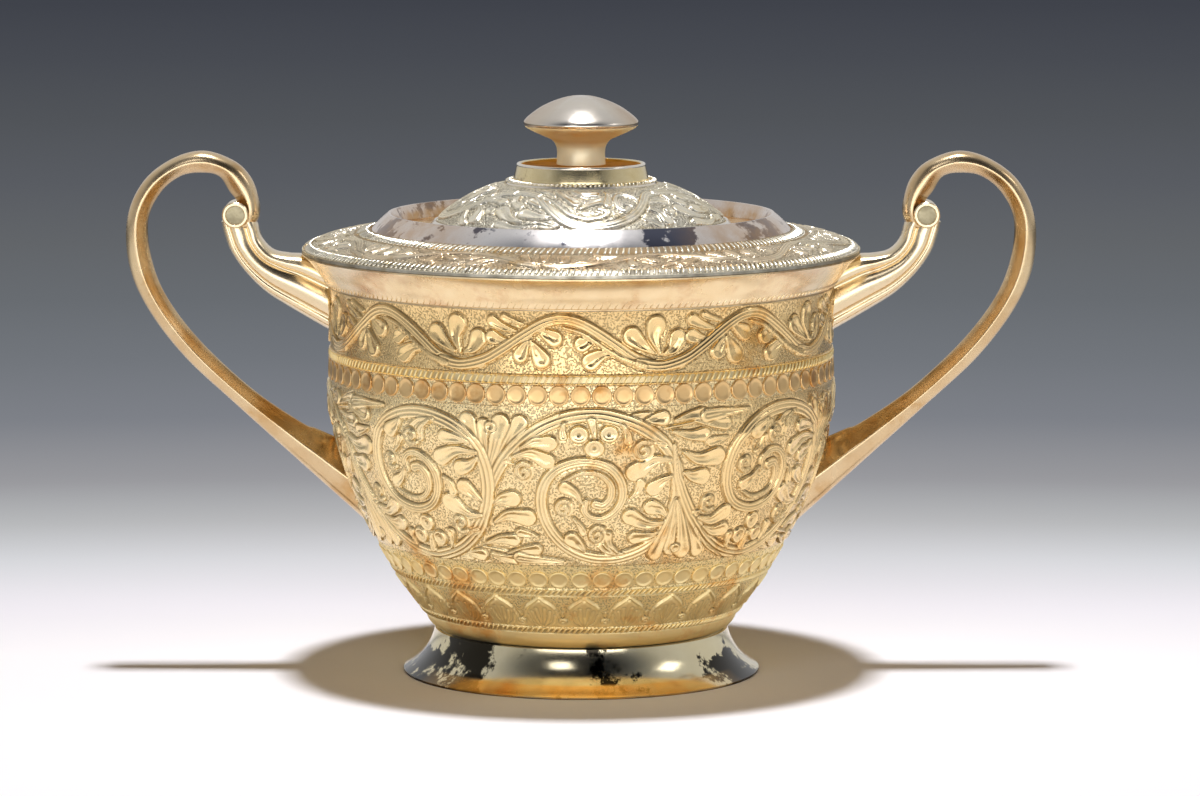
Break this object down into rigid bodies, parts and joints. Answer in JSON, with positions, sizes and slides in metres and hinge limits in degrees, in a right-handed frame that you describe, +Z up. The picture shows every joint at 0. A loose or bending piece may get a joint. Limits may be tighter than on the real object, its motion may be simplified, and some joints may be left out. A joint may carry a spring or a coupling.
{
  "type": "covered sugar bowl",
  "caption": "Round chased silver sugar bowl on a flared foot, with cast scroll handles and a lift-off domed lid with a mushroom knob, for holding and serving sugar.",
  "frame": {"origin": "centre of the foot's base, on the surface that the bowl stands on", "axes": "+Z up along the bowl's axis, +X along the handles to the right as seen in the picture, +Y to the back"},
  "size_m": [0.1802, 0.1104, 0.1146],
  "materials": {
    "chased_silver": "satin",
    "polished_silver": "polished",
    "cast_silver": "polished",
    "plain_silver": "satin"
  },
  "bodies": {
    "bowl": {"bowl_body": "chased_silver", "foot_ring": "polished_silver", "handle_left_loop": "cast_silver", "handle_right_loop": "cast_silver", "handle_left_bracket": "cast_silver", "handle_right_bracket": "cast_silver"},
    "lid": {"lid_plate": "chased_silver", "lid_step_ring": "polished_silver", "lid_dome": "chased_silver", "lid_bezel": "plain_silver", "finial_plinth": "polished_silver", "finial_knob": "polished_silver", "finial_stud": "plain_silver", "finial_washer": "plain_silver", "finial_nut": "plain_silver"}
  },
  "joints": [
    {"name": "lid_lift", "type": "slide", "parent": "bowl", "child": "lid", "axis": [0, 0, 1], "range_m": [0, 0.08]}
  ]
}
